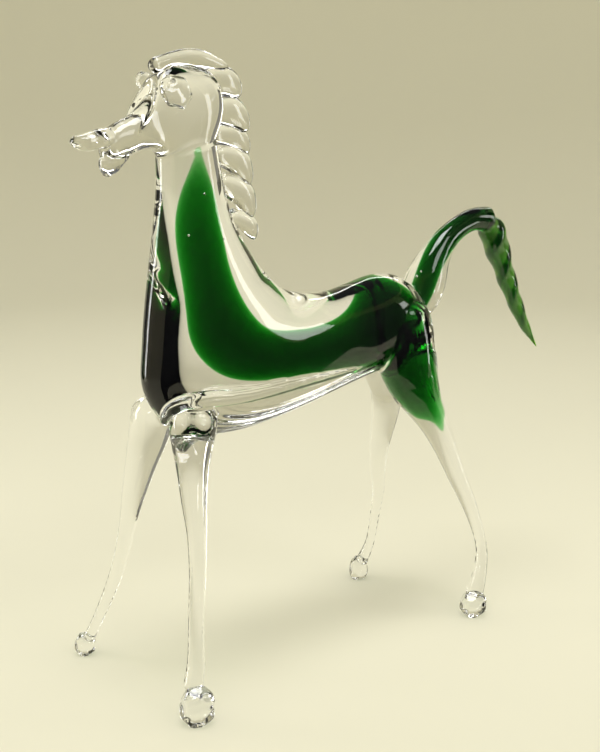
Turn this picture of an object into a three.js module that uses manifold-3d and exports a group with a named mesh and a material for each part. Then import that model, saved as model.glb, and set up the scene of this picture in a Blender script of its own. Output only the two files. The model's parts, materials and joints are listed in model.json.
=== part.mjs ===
// A flameworked horse: clear crystal drawn over a green glass core, on four drawn legs.
// Millimetres. The horse faces -Y, its left side is +X and +Z is up. The feet stand on Z = 0.
import * as THREE from 'three';
import { LoftGeometry } from 'three/addons/geometries/LoftGeometry.js';
import { mergeVertices } from 'three/addons/utils/BufferGeometryUtils.js';
import Module from 'manifold-3d';

// ---- Driving dimensions ----
const GAP = 0.3; // clearance between two pieces that lie against each other

const TRUNK_LENGTH = 90; // chest to the back of the hip
const BELLY_HEIGHT = 66; // ground to the underside of the trunk
const TRUNK_DEPTH = 30; // belly to back
const TRUNK_WIDTH = 24;
const NECK_RISE = 40; // back to throat
const NECK_WIDTH = 14.5; // at the throat
const HEAD_LENGTH = 36; // nape to mouth corner
const HEAD_HEIGHT = 20; // throat to poll
const HEAD_WIDTH = 12.8;
const LIP_LENGTH = 8;
const LIP_WIDTH = 7.8;
const JAW_WIDTH = 6;
const JAW_DROP = 6; // how far the jaw hangs below the mouth corner

const EAR_LENGTH = 9.2;
const EAR_WIDTH = 8.4;
const EAR_THICKNESS = 4.4;
const FAR_EAR_SIZE = 0.62; // the right ear is smaller than the left

const CORE_THICKNESS = 10; // green core in the trunk
const STREAK_THICKNESS = 9; // green streak at the top of the left thigh

const FORE_STANCE = 52; // between the fore soles, across the horse
const HIND_STANCE = 42;
const SHOULDER_SPREAD = 13; // between the fore legs where they meet the body
const HIP_SPREAD = 14;
const SOLE_SHARE = 0.68; // flat sole, as a share of the bead above it

const CREST_THICKNESS = 4.4; // mane lobes, across the horse
const TAIL_THICKNESS = 12; // at the root
const TAIL_CORE_THICKNESS = 4.4;
const TAIL_HEIGHT = 15.5; // top of the tail above the back
const SWITCH_WIDTH = 7;
const SWITCH_THICKNESS = 6;
const SWITCH_DROP = 41; // top of the switch to its tip
const SWITCH_REACH = 23; // how far back the tip lies from the bend
const SWITCH_TURNS = 2.5;

// ---- Places, worked out from the sizes above ----
const trunkY = (share) => (share - 0.5) * TRUNK_LENGTH;
const trunkZ = (share) => BELLY_HEIGHT + share * TRUNK_DEPTH;
const chestY = (back) => trunkY(0) + back;
const neckZ = (share) => trunkZ(1) + share * NECK_RISE;
const napeY = chestY(24.5);
const headY = (share) => napeY - share * HEAD_LENGTH;
const headZ = (share) => neckZ(1) + share * HEAD_HEIGHT;
const halfTrunk = TRUNK_WIDTH / 2;
const halfNeck = NECK_WIDTH / 2;
const halfHead = HEAD_WIDTH / 2;
const halfCore = CORE_THICKNESS / 2;

// ---- Making solids ----
const wasm = await Module();
wasm.setup();

// A closed solid through a row of rings.
function solidThrough(rings) {
  const loft = new LoftGeometry(rings, { capStart: true, capEnd: true });
  const skin = new THREE.BufferGeometry();
  skin.setAttribute('position', loft.getAttribute('position'));
  skin.setIndex(loft.index);
  const merged = mergeVertices(skin);
  const mesh = new wasm.Mesh({
    numProp: 3,
    vertProperties: merged.attributes.position.array,
    triVerts: new Uint32Array(merged.index.array),
  });
  return new wasm.Manifold(mesh);
}

// An oval ring round a centre, from its two half-axis vectors.
function ovalRing(centre, across, deep, sides) {
  const points = [];
  for (let k = 0; k < sides; k++) {
    const angle = (k / sides) * 2 * Math.PI;
    const point = centre.clone();
    point.addScaledVector(across, Math.cos(angle));
    point.addScaledVector(deep, Math.sin(angle));
    points.push(point);
  }
  return points;
}

// A body drawn between a top line and an under line in the middle plane of the horse.
// Each rib is [top y, top z, under y, under z, half width], and grow makes it fatter all round.
function ribbedSolid(ribs, { steps, sides, grow = 0 }) {
  const top = new THREE.CatmullRomCurve3(ribs.map((r) => new THREE.Vector3(0, r[0], r[1])));
  const under = new THREE.CatmullRomCurve3(ribs.map((r) => new THREE.Vector3(0, r[2], r[3])));
  const width = new THREE.SplineCurve(ribs.map((r, i) => new THREE.Vector2(i, r[4])));
  const frames = [];
  for (let i = 0; i <= steps; i++) {
    const t = i / steps;
    const head = top.getPoint(t);
    const foot = under.getPoint(t);
    const deep = head.clone().sub(foot).multiplyScalar(0.5);
    const centre = head.clone().add(foot).multiplyScalar(0.5);
    deep.setLength(deep.length() + grow);
    frames.push({ centre, deep, half: width.getPoint(t).y + grow });
  }
  const along = frames[1].centre.clone().sub(frames[0].centre);
  const turn = new THREE.Vector3(1, 0, 0).cross(frames[0].deep);
  const sense = Math.sign(turn.dot(along));
  const rings = frames.map(({ centre, deep, half }) =>
    ovalRing(centre, new THREE.Vector3(sense * half, 0, 0), deep, sides));
  if (grow > 0) {
    rings.unshift(shifted(rings[0], frames[1].centre, frames[0].centre, grow));
    rings.push(shifted(rings.at(-1), frames.at(-2).centre, frames.at(-1).centre, grow));
  }
  return solidThrough(rings);
}

// A copy of a ring, moved on by a distance in the direction from one point to another.
function shifted(ring, from, to, distance) {
  const move = to.clone().sub(from).setLength(distance);
  return ring.map((point) => point.clone().add(move));
}

// A rod drawn along a curve. Each station is [x, y, z, half width, half depth].
// The ends are round over the given lengths, and twist is in turns over the whole rod.
function drawnRod(stations, options) {
  const { steps, sides, grow = 0, roundStart = 0, roundEnd = 0, twist = 0 } = options;
  const path = new THREE.CatmullRomCurve3(stations.map((s) => new THREE.Vector3(s[0], s[1], s[2])));
  const sizes = new THREE.CatmullRomCurve3(stations.map((s, i) => new THREE.Vector3(s[3], s[4], i)));
  const length = path.getLength();
  const rings = [];
  for (const distance of ringDistances(length, steps, roundStart, roundEnd)) {
    const t = path.getUtoTmapping(distance / length);
    const tangent = path.getTangent(t);
    const across = new THREE.Vector3(1, 0, 0).projectOnPlane(tangent).normalize();
    const size = sizes.getPoint(t);
    const dome = domed(distance, roundStart) * domed(length - distance, roundEnd);
    const centre = path.getPoint(t);
    if (distance === 0) centre.addScaledVector(tangent, -grow);
    if (distance === length) centre.addScaledVector(tangent, grow);
    across.applyAxisAngle(tangent, (distance / length) * twist * 2 * Math.PI);
    const deep = tangent.clone().cross(across);
    across.multiplyScalar(size.x * dome + grow);
    deep.multiplyScalar(size.y * dome + grow);
    rings.push(ovalRing(centre, across, deep, sides));
  }
  return solidThrough(rings);
}

// How full a rod is at a distance from an end that is round over a length.
function domed(distance, round) {
  if (distance >= round) return 1;
  return Math.max(0.12, Math.sqrt(1 - (1 - distance / round) ** 2));
}

// Where the rings of a rod lie: even along it, and closer where an end is round.
function ringDistances(length, steps, roundStart, roundEnd) {
  const DOME_RINGS = 3;
  const distances = [];
  const dome = (k) => 1 - Math.cos((k / DOME_RINGS) * (Math.PI / 2));
  for (let k = 0; k < DOME_RINGS && roundStart > 0; k++) distances.push(roundStart * dome(k));
  const straight = length - roundStart - roundEnd;
  for (let i = 0; i <= steps; i++) distances.push(roundStart + (straight * i) / steps);
  for (let k = DOME_RINGS - 1; k >= 0 && roundEnd > 0; k--) distances.push(length - roundEnd * dome(k));
  return distances;
}

// ---- Glass ----
const clearGlass = new THREE.MeshStandardMaterial({
  name: 'clear_glass', color: 0xdce8e0, roughness: 0.03, metalness: 0, transparent: true, opacity: 0.4,
});
const coreGlass = new THREE.MeshStandardMaterial({
  name: 'green_glass', color: 0x0b4a14, roughness: 0.05, metalness: 0,
});
const switchGlass = new THREE.MeshStandardMaterial({
  name: 'light_green_glass', color: 0x2f7a1c, roughness: 0.08, metalness: 0,
});

const horse = new THREE.Group();

// Adds a solid to the horse as a named piece of glass.
function addPiece(name, solid, material) {
  const { vertProperties, triVerts, numProp, numVert } = solid.getMesh();
  const positions = new Float32Array(numVert * 3);
  for (let i = 0; i < numVert; i++) {
    positions.set(vertProperties.subarray(i * numProp, i * numProp + 3), i * 3);
  }
  const geometry = new THREE.BufferGeometry();
  geometry.setAttribute('position', new THREE.BufferAttribute(positions, 3));
  geometry.setIndex(new THREE.BufferAttribute(triVerts, 1));
  geometry.computeVertexNormals();
  const mesh = new THREE.Mesh(geometry, material);
  mesh.name = name;
  horse.add(mesh);
}

const cut = (solid, ...tools) => tools.reduce((left, tool) => left.subtract(tool), solid);

// ---- Body: neck, chest, trunk and rump in one drawn gather ----
const neckTop = [napeY - 3, neckZ(1.05), chestY(6.5), neckZ(0.96), halfNeck];
const bodyRibs = [
  neckTop,
  [chestY(23), neckZ(0.85), chestY(6.5), neckZ(0.77), halfNeck * 1.05],
  [chestY(25.5), neckZ(0.6), chestY(5.5), neckZ(0.55), halfNeck * 1.2],
  [chestY(30.5), neckZ(0.37), chestY(4), neckZ(0.3), halfNeck * 1.38],
  [chestY(37), neckZ(0.18), chestY(2.3), neckZ(0.02), halfTrunk * 0.92],
  [chestY(43), neckZ(0.06), chestY(1.3), trunkZ(0.7), halfTrunk],
  [trunkY(0.54), trunkZ(1.02), chestY(1), trunkZ(0.34), halfTrunk * 1.02],
  [trunkY(0.6), trunkZ(0.99), chestY(9), trunkZ(0.0), halfTrunk * 1.02],
  [trunkY(0.64), trunkZ(0.98), chestY(24), trunkZ(-0.1), halfTrunk],
  [trunkY(0.7), trunkZ(0.99), trunkY(0.48), trunkZ(-0.03), halfTrunk * 0.96],
  [trunkY(0.77), trunkZ(1.03), trunkY(0.66), trunkZ(0.08), halfTrunk * 0.92],
  [trunkY(0.84), trunkZ(1.07), trunkY(0.81), trunkZ(0.17), halfTrunk * 0.94],
  [trunkY(0.91), trunkZ(1.06), trunkY(0.9), trunkZ(0.19), halfTrunk * 0.92],
  [trunkY(0.965), trunkZ(0.97), trunkY(0.97), trunkZ(0.27), halfTrunk * 0.78],
  [trunkY(1.0), trunkZ(0.84), trunkY(1.01), trunkZ(0.4), halfTrunk * 0.48],
  [trunkY(1.015), trunkZ(0.7), trunkY(1.02), trunkZ(0.55), halfTrunk * 0.14],
];
const BODY_MESH = { steps: 34, sides: 20 };
const bodyOuter = ribbedSolid(bodyRibs, BODY_MESH);
const bodyClear = ribbedSolid(bodyRibs, { ...BODY_MESH, grow: GAP });

// ---- Green core: pointed in the neck, thick in the rump ----
const coreRibs = [
  [chestY(16.6), neckZ(1.0), chestY(16), neckZ(0.99), halfCore * 0.06],
  [chestY(17.7), neckZ(0.88), chestY(14.9), neckZ(0.875), halfCore * 0.27],
  [chestY(19.1), neckZ(0.74), chestY(13.5), neckZ(0.73), halfCore * 0.56],
  [chestY(20.2), neckZ(0.575), chestY(12.5), neckZ(0.56), halfCore * 0.75],
  [chestY(21.6), neckZ(0.41), chestY(12.6), neckZ(0.385), halfCore * 0.85],
  [chestY(23), neckZ(0.26), chestY(13.3), neckZ(0.2), halfCore * 0.9],
  [chestY(25.5), neckZ(0.1), chestY(13.8), neckZ(0), halfCore * 0.94],
  [chestY(29), trunkZ(0.93), chestY(14.5), trunkZ(0.73), halfCore],
  [chestY(33.5), trunkZ(0.78), chestY(18.5), trunkZ(0.52), halfCore],
  [chestY(39), trunkZ(0.71), chestY(27), trunkZ(0.38), halfCore],
  [trunkY(0.51), trunkZ(0.67), trunkY(0.42), trunkZ(0.34), halfCore],
  [trunkY(0.6), trunkZ(0.645), trunkY(0.56), trunkZ(0.32), halfCore],
  [trunkY(0.7), trunkZ(0.68), trunkY(0.69), trunkZ(0.33), halfCore * 1.05],
  [trunkY(0.79), trunkZ(0.79), trunkY(0.8), trunkZ(0.33), halfCore * 1.35],
  [trunkY(0.87), trunkZ(0.91), trunkY(0.87), trunkZ(0.31), halfCore * 1.6],
  [trunkY(0.93), trunkZ(0.86), trunkY(0.935), trunkZ(0.38), halfCore * 1.3],
  [trunkY(0.97), trunkZ(0.72), trunkY(0.975), trunkZ(0.52), halfCore * 0.55],
];
const CORE_MESH = { steps: 30, sides: 12 };
const coreSolid = ribbedSolid(coreRibs, CORE_MESH);
const coreClear = ribbedSolid(coreRibs, { ...CORE_MESH, grow: GAP });

// ---- Tail: a cased rod that rises from the rump and bends over ----
const tailRoot = trunkY(0.985);
const tailTop = trunkZ(1) + TAIL_HEIGHT;
const tailStation = (back, share, size) => {
  const z = trunkZ(0.7) + share * (tailTop - trunkZ(0.7));
  return [0, tailRoot + back, z, size, size];
};
const tailPath = [
  [1.5, 0, 0.9],
  [5.3, 0.18, 1],
  [7.4, 0.35, 0.96],
  [9.8, 0.53, 0.78],
  [13.9, 0.73, 0.6],
  [19, 0.86, 0.52],
  [25, 0.94, 0.54],
  [31.5, 0.92, 0.62],
];
const halfTail = TAIL_THICKNESS / 2;
const halfTailCore = TAIL_CORE_THICKNESS / 2;
const tailRod = (half, taper, grow) =>
  drawnRod(tailPath.map(([back, share, size]) => tailStation(back, share, half * taper(size))),
    { steps: 14, sides: 12, grow });
const tailOuter = tailRod(halfTail, (size) => size, 0);
const tailCore = tailRod(halfTailCore, () => 1, 0);
const tailCoreClear = tailRod(halfTailCore, () => 1, GAP);

// ---- Switch: a flat blade of light green glass, twisted and drawn to a point ----
const bend = tailPath.at(-1);
const [, bendY, bendZ] = tailStation(bend[0], bend[1], 1);
const switchPath = [
  [0, 0, 0.9],
  [0.09, 0.1, 1.24],
  [0.27, 0.32, 0.97],
  [0.5, 0.58, 0.74],
  [0.74, 0.81, 0.5],
  [1, 1, 0.12],
];
const switchRod = (grow) =>
  drawnRod(switchPath.map(([reach, drop, size]) => [
    0,
    bendY + reach * SWITCH_REACH,
    bendZ - drop * SWITCH_DROP,
    (SWITCH_THICKNESS / 2) * size,
    (SWITCH_WIDTH / 2) * size,
  ]), { steps: 46, sides: 10, grow, roundStart: 2.5, roundEnd: 1, twist: SWITCH_TURNS });
const switchClear = switchRod(GAP);

// ---- Legs and feet ----
// Each leg's stations are [share of the leg's height, distance behind the sole, half thickness].
const LEGS = [
  {
    name: 'left_fore',
    side: 1,
    stance: FORE_STANCE,
    spread: SHOULDER_SPREAD,
    soleY: trunkY(-0.04),
    footWidth: 8.8,
    footHeight: 10,
    stations: [
      [0.06, 0.3, 2.6], [0.17, 2.1, 2.3], [0.25, 3.4, 2.05], [0.34, 4.8, 2], [0.45, 6.9, 2.1],
      [0.58, 8.7, 2.5], [0.68, 9.4, 3.2], [0.77, 10.4, 3.9], [0.84, 11.4, 4.9], [0.9, 12.4, 5.9],
      [0.95, 13.4, 6.3], [1, 14.6, 6.1],
    ],
  },
  {
    name: 'right_fore',
    side: -1,
    stance: FORE_STANCE,
    spread: SHOULDER_SPREAD,
    soleY: trunkY(-0.04),
    footWidth: 5.6,
    footHeight: 6.5,
    stations: [
      [0.05, 0.4, 1.7], [0.11, 1.8, 1.45], [0.19, 4, 1.6], [0.27, 5.9, 1.75], [0.36, 7.4, 1.9],
      [0.44, 8, 2.05], [0.53, 8.4, 2.4], [0.65, 9.2, 3.4], [0.76, 10.3, 4.4], [0.83, 11.2, 5.2],
      [0.9, 11.8, 5.7], [0.98, 12.4, 5.7],
    ],
  },
  {
    name: 'left_hind',
    side: 1,
    stance: HIND_STANCE,
    spread: HIP_SPREAD,
    soleY: trunkY(1.075),
    footWidth: 8,
    footHeight: 7.4,
    stations: [
      [0.07, 1.7, 2.6], [0.13, 3.8, 2.2], [0.19, 5.6, 1.8], [0.24, 6.3, 1.65], [0.31, 5.5, 1.7],
      [0.43, 2.8, 2.2], [0.53, -0.3, 2.7], [0.62, -2.8, 3.1], [0.7, -5.2, 3.7], [0.77, -7.7, 4.5],
      [0.83, -10.2, 5.6], [0.92, -13.3, 7.4], [1.06, -15.3, 7.6],
    ],
  },
  {
    name: 'right_hind',
    side: -1,
    stance: HIND_STANCE,
    spread: HIP_SPREAD,
    soleY: trunkY(1.0),
    footWidth: 5.6,
    footHeight: 7.5,
    stations: [
      [0.04, 0, 1.9], [0.09, 0.7, 1.6], [0.15, 2.5, 1.4], [0.23, 2.8, 1.4], [0.32, 2.9, 1.55],
      [0.4, 2.8, 1.9], [0.5, 1.1, 2.4], [0.61, 0.4, 3.1], [0.69, 0.8, 3.7], [0.78, 0.7, 4.4],
      [0.88, -0.8, 5.4], [1.05, -4.7, 6],
    ],
  },
];
const legTop = trunkZ(0.3);

// A leg's own centre line, from inside the foot bead to inside the body.
function legStations(leg) {
  return leg.stations.map(([share, behind, half]) => {
    const out = THREE.MathUtils.lerp(leg.stance, leg.spread, share) / 2;
    return [leg.side * out, leg.soleY + behind, share * legTop, half, half];
  });
}

// A foot: a bead pressed flat underneath.
function footBead(leg, grow) {
  const half = leg.footWidth / 2;
  const x = (leg.side * leg.stance) / 2;
  const profile = [[0, SOLE_SHARE], [0.16, 0.92], [0.42, 1], [0.72, 0.86], [1, 0.6]];
  const stations = profile.map(([share, size]) =>
    [x, leg.soleY, share * leg.footHeight, half * size * 0.94, half * size * 1.06]);
  return drawnRod(stations, { steps: 6, sides: 12, grow, roundEnd: leg.footHeight * 0.3 });
}

// ---- Left thigh: a green streak drawn down from the core ----
const leftHind = LEGS.find((leg) => leg.name === 'left_hind');
const STREAK_LEAN = 9; // inward lean of its top, towards the core
const LEAN_FROM = 0.87; // share of the leg's height where the lean starts
const streakPath = [
  [1.12, -14, 0.9], [1.02, -13.8, 1], [0.92, -13.3, 1], [0.83, -10.2, 0.64], [0.77, -6.7, 0.28],
  [0.715, -4.7, 0.07],
];
const streakRod = (grow) => {
  const stations = streakPath.map(([share, behind, size]) => {
    const out = THREE.MathUtils.lerp(HIND_STANCE, HIP_SPREAD, share) / 2;
    const inward = Math.max(0, share - LEAN_FROM) * STREAK_LEAN;
    const half = (STREAK_THICKNESS / 2) * size;
    return [out - inward, leftHind.soleY + behind, share * legTop, half, half];
  });
  return drawnRod(stations, { steps: 10, sides: 12, grow, roundEnd: 1.5 });
};
const streak = streakRod(0);
const streakClear = streakRod(GAP);

// ---- Assemble body, core, tail and legs ----
addPiece('body_casing', cut(bodyOuter, coreClear, tailCoreClear, streakClear), clearGlass);
addPiece('green_core', coreSolid, coreGlass);
addPiece('left_thigh_streak', cut(streak, coreClear), coreGlass);
addPiece('tail_core', cut(tailCore, coreClear, switchClear), coreGlass);
addPiece('tail_casing', cut(tailOuter, bodyClear, tailCoreClear, switchClear), clearGlass);
addPiece('tail_switch', switchRod(0), switchGlass);
for (const leg of LEGS) {
  const rod = drawnRod(legStations(leg), { steps: 22, sides: 12, roundEnd: leg.stations.at(-1)[2] });
  const tools = [bodyClear, footBead(leg, GAP)];
  if (leg === leftHind) tools.push(streakClear);
  addPiece(`${leg.name}_leg`, cut(rod, ...tools), clearGlass);
  addPiece(`${leg.name}_foot`, footBead(leg, 0), clearGlass);
}

// ---- Head: skull and muzzle, upper lip and jaw ----
// The head starts a little below the top of the neck, which then cuts it off square.
const HEAD_SEAT = 2;
const [neckBackY, neckBackZ, throatY, throatZ] = neckTop;
const headRibs = [
  [neckBackY - 0.8, neckBackZ - HEAD_SEAT, throatY + 0.8, throatZ - HEAD_SEAT, halfNeck * 0.86],
  [headY(0.07), headZ(0.16), headY(0.53), headZ(-0.02), halfHead * 1.04],
  [headY(0.0), headZ(0.48), headY(0.61), headZ(0.03), halfHead * 1.03],
  [headY(0.03), headZ(0.78), headY(0.7), headZ(0.01), halfHead * 0.99],
  [headY(0.2), headZ(0.98), headY(0.76), headZ(-0.04), halfHead * 0.93],
  [headY(0.42), headZ(1.01), headY(0.81), headZ(-0.08), halfHead * 0.85],
  [headY(0.54), headZ(0.87), headY(0.85), headZ(-0.12), halfHead * 0.78],
  [headY(0.565), headZ(0.65), headY(0.89), headZ(-0.15), halfHead * 0.71],
  [headY(0.69), headZ(0.46), headY(0.92), headZ(-0.15), halfHead * 0.64],
  [headY(0.86), headZ(0.33), headY(0.94), headZ(-0.08), halfHead * 0.57],
  [headY(0.91), headZ(0.25), headY(0.945), headZ(0.03), halfHead * 0.46],
];
const HEAD_MESH = { steps: 22, sides: 16 };
const headOuter = ribbedSolid(headRibs, HEAD_MESH);
const headClear = ribbedSolid(headRibs, { ...HEAD_MESH, grow: GAP });

const mouthY = headY(0.97);
const lipY = (share) => mouthY - share * LIP_LENGTH;
const halfLip = LIP_WIDTH / 2;
const upperLip = (grow) => ribbedSolid([
  [lipY(-0.5), headZ(0.3), lipY(-0.38), headZ(0.08), halfLip * 0.67],
  [lipY(0), headZ(0.29), lipY(0), headZ(0.07), halfLip * 0.92],
  [lipY(0.45), headZ(0.25), lipY(0.4), headZ(0.04), halfLip],
  [lipY(0.8), headZ(0.22), lipY(0.7), headZ(0.07), halfLip * 0.74],
  [lipY(1), headZ(0.17), lipY(0.96), headZ(0.14), halfLip * 0.23],
], { steps: 8, sides: 12, grow });
const jawTipZ = headZ(0) - JAW_DROP;
const halfJaw = JAW_WIDTH / 2;
const lowerJaw = ribbedSolid([
  [mouthY + 4.5, headZ(0.05), mouthY + 7.5, headZ(-0.08), halfJaw * 0.87],
  [mouthY + 1.5, headZ(-0.02), mouthY + 5.5, headZ(-0.16), halfJaw],
  [mouthY + 0.1, headZ(-0.09), mouthY + 4, headZ(-0.24), halfJaw * 0.93],
  [mouthY + 0.4, jawTipZ + 2.6, mouthY + 3.1, jawTipZ + 1.2, halfJaw * 0.7],
  [mouthY + 1.4, jawTipZ + 0.3, mouthY + 2, jawTipZ, halfJaw * 0.27],
], { steps: 8, sides: 12 });
addPiece('head', cut(headOuter, bodyClear), clearGlass);
addPiece('upper_lip', cut(upperLip(0), headClear), clearGlass);
addPiece('lower_jaw', cut(lowerJaw, headClear, upperLip(GAP)), clearGlass);

// ---- Ears: pinched leaves laid against the sides of the head ----
for (const [name, side, scale] of [['left_ear', 1, 1], ['right_ear', -1, FAR_EAR_SIZE]]) {
  const leaf = [[0.5, 0.12, 0.25], [0.15, 0.02, 0.85], [-0.2, -0.1, 1], [-0.5, -0.06, 0.6]];
  const stations = leaf.map(([forward, up, size]) => [
    side * halfHead,
    headY(0.49) - forward * EAR_LENGTH * scale,
    headZ(0.73) + up * EAR_LENGTH * scale + (1 - scale) * EAR_WIDTH / 2,
    (EAR_THICKNESS / 2) * (0.6 + 0.4 * size) * scale,
    (EAR_WIDTH / 2) * size * scale,
  ]);
  const ear = drawnRod(stations, { steps: 6, sides: 10, roundStart: 1.5, roundEnd: 2 });
  addPiece(name, cut(ear, headClear), clearGlass);
}

// ---- Mane: a crown over the poll, then pinched lobes down the crest ----
// Each lobe runs from its root on the crest to its hanging tip, both as
// [distance behind the chest line, share of the neck's rise], and has a half depth.
const lobes = [
  { name: 'mane_crown', root: [4, 1.49], bow: [16.5, 1.53], tip: [27, 1.47], depth: 2.5 },
  { name: 'mane_lobe_1', root: [17.5, 1.4], bow: [25.8, 1.385], tip: [30.8, 1.3], depth: 3.9 },
  { name: 'mane_lobe_2', root: [19, 1.22], bow: [27.6, 1.2], tip: [33, 1.085], depth: 4.1 },
  { name: 'mane_lobe_3', root: [21, 1.08], bow: [28.8, 1.05], tip: [33.2, 0.945], depth: 3.2 },
  { name: 'mane_lobe_4', root: [22, 0.96], bow: [29.6, 0.9], tip: [33.4, 0.745], depth: 3.5 },
  { name: 'mane_lobe_5', root: [23, 0.79], bow: [30.8, 0.7], tip: [34, 0.535], depth: 3.5 },
  { name: 'mane_lobe_6', root: [26.5, 0.58], bow: [32.6, 0.5], tip: [34.8, 0.395], depth: 2.5 },
];
const lobeRod = ({ root, bow, tip, depth }, grow) => {
  const half = CREST_THICKNESS / 2;
  const stations = [
    [0, chestY(root[0]), neckZ(root[1]), half * 0.9, depth * 0.7],
    [0, chestY(bow[0]), neckZ(bow[1]), half, depth],
    [0, chestY(tip[0]), neckZ(tip[1]), half * 0.45, depth * 0.45],
  ];
  return drawnRod(stations, { steps: 6, sides: 10, grow, roundStart: 2, roundEnd: 2.5 });
};
lobes.forEach((lobe, i) => {
  const tools = [bodyClear, headClear];
  if (i > 0) tools.push(lobeRod(lobes[i - 1], GAP));
  addPiece(lobe.name, cut(lobeRod(lobe, 0), ...tools), clearGlass);
});

// ---- The part's frame: origin under the middle of the horse, on the ground ----
const box = new THREE.Box3().setFromObject(horse, true);
const middle = box.getCenter(new THREE.Vector3());
horse.position.set(-middle.x, -middle.y, -box.min.z);

export default horse;
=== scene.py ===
"""A flameworked glass horse: clear crystal drawn over a deep green core, on four drawn legs.

Lengths are millimetres until a mesh, a light or the camera is made, and MM turns them into metres. The horse
faces -Y, its left side is +X, and its soles stand on z = 0.
"""

import json
import math

import bmesh
import bpy
import numpy as np
from mathutils import Matrix, Vector
from mathutils.bvhtree import BVHTree


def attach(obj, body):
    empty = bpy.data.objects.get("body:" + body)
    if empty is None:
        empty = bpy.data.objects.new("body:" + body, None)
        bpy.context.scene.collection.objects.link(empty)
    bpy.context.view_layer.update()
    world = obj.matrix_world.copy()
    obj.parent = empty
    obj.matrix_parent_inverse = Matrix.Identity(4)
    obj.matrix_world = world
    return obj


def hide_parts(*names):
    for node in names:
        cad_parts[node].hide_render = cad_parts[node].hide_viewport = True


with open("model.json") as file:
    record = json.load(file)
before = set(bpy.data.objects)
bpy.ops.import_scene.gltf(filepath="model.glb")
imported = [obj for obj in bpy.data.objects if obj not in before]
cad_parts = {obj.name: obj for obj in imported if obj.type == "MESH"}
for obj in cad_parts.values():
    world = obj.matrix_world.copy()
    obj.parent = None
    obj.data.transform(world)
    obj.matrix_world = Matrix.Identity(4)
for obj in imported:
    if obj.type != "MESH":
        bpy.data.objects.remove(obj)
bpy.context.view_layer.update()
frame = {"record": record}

MM = 0.001
X, Y, Z = np.eye(3)

# ---- Sizes that the shapes below share ----
TRUNK_LENGTH = 90
BELLY_HEIGHT = 66
TRUNK_DEPTH = 30
TRUNK_WIDTH = 24
NECK_RISE = 40
NECK_WIDTH = 14.5
HEAD_LENGTH = 36
HEAD_HEIGHT = 20
HEAD_WIDTH = 12.8
LIP_LENGTH = 8
JAW_DROP = 6
CORE_THICKNESS = 10
STREAK_THICKNESS = 9
TAIL_THICKNESS = 12
TAIL_CORE_THICKNESS = 4.4
TAIL_HEIGHT = 15.5
SWITCH_WIDTH = 7
SWITCH_THICKNESS = 6
SWITCH_DROP = 41
SWITCH_REACH = 23
SWITCH_TURNS = 2.5
SHOULDER_SPREAD = 13
HIP_SPREAD = 14
FORE_SOLE_SHARE = -0.04  # where the fore soles stand, as a share of the trunk's length from the chest
SEAM = 0.12  # air between two bits of glass that are only tacked together

# ---- Places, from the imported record's soles ----
soles = {m["name"].replace("_sole", ""): np.array(m["pos_m"]) / MM for m in frame["record"]["mounts"]}
MIDDLE_X = (soles["left_fore"][0] + soles["right_fore"][0]) / 2


def trunk_y(share):
    return soles["left_fore"][1] + (share - FORE_SOLE_SHARE) * TRUNK_LENGTH


def trunk_z(share):
    return BELLY_HEIGHT + share * TRUNK_DEPTH


def chest_y(back):
    return trunk_y(0) + back


def neck_z(share):
    return trunk_z(1) + share * NECK_RISE


NAPE_Y = chest_y(24.5)  # the back of the neck, where the head begins


def head_y(share):
    return NAPE_Y - share * HEAD_LENGTH


def head_z(share):
    return neck_z(1) + share * HEAD_HEIGHT


# ---- Curves ----
def between(low, high, value):
    """0 at low and before it, 1 at high and past it, and smooth between them."""
    share = min(1, max(0, (value - low) / (high - low)))
    return share * share * (3 - 2 * share)


def through(points, count):
    """Points on a smooth curve that passes through the given ones."""
    p = np.array(points, float)
    p = np.vstack([2 * p[0] - p[1], p, 2 * p[-1] - p[-2]])
    t = np.linspace(0, len(points) - 1, count)
    i = np.minimum(t.astype(int), len(points) - 2)
    f = (t - i)[:, None]
    a, b, c, d = p[i], p[i + 1], p[i + 2], p[i + 3]
    before, here, after = [np.maximum(np.linalg.norm(v - u, axis=1), 1e-6)[:, None] ** 0.5
                           for u, v in ((a, b), (b, c), (c, d))]
    leave = ((b - a) / before - (c - a) / (before + here) + (c - b) / here) * here
    arrive = ((c - b) / here - (d - b) / (here + after) + (d - c) / after) * here
    cubic = 2 * b - 2 * c + leave + arrive
    square = -3 * b + 3 * c - 2 * leave - arrive
    return b + leave * f + square * f**2 + cubic * f**3


def eased(values, width):
    """The same rows with their small kinks smoothed out, both ends kept."""
    reach = 3 * width
    bell = np.exp(-0.5 * (np.arange(-reach, reach + 1) / width) ** 2)
    start = 2 * values[0] - values[reach:0:-1]
    end = 2 * values[-1] - values[-2 : -reach - 2 : -1]
    long = np.vstack([start, values, end])
    out = [np.convolve(long[:, k], bell / bell.sum(), "valid") for k in range(values.shape[1])]
    return np.stack(out, axis=1)


def evenly(rows, count):
    """The rows again, at even distances along the curve of their first three columns, and its length."""
    step = np.linalg.norm(np.diff(rows[:, :3], axis=0), axis=1)
    run = np.concatenate([[0], np.cumsum(step)])
    at = np.linspace(0, run[-1], count)
    return np.stack([np.interp(at, run, rows[:, k]) for k in range(rows.shape[1])], axis=1), run[-1]


# ---- Solids ----
def solid(rings):
    """Vertices and faces of a closed solid through rings of points, capped by a fan at each end."""
    count, sides = len(rings), len(rings[0])
    points = np.vstack([np.concatenate(rings), rings[0].mean(0)[None], rings[-1].mean(0)[None]])
    faces = []
    for i in range(count - 1):
        for k in range(sides):
            n = (k + 1) % sides
            faces.append((i * sides + k, i * sides + n, (i + 1) * sides + n, (i + 1) * sides + k))
    first, last = count * sides, count * sides + 1
    for k in range(sides):
        n = (k + 1) % sides
        faces.append((n, k, first))
        faces.append(((count - 1) * sides + k, (count - 1) * sides + n, last))
    return points, faces


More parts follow.
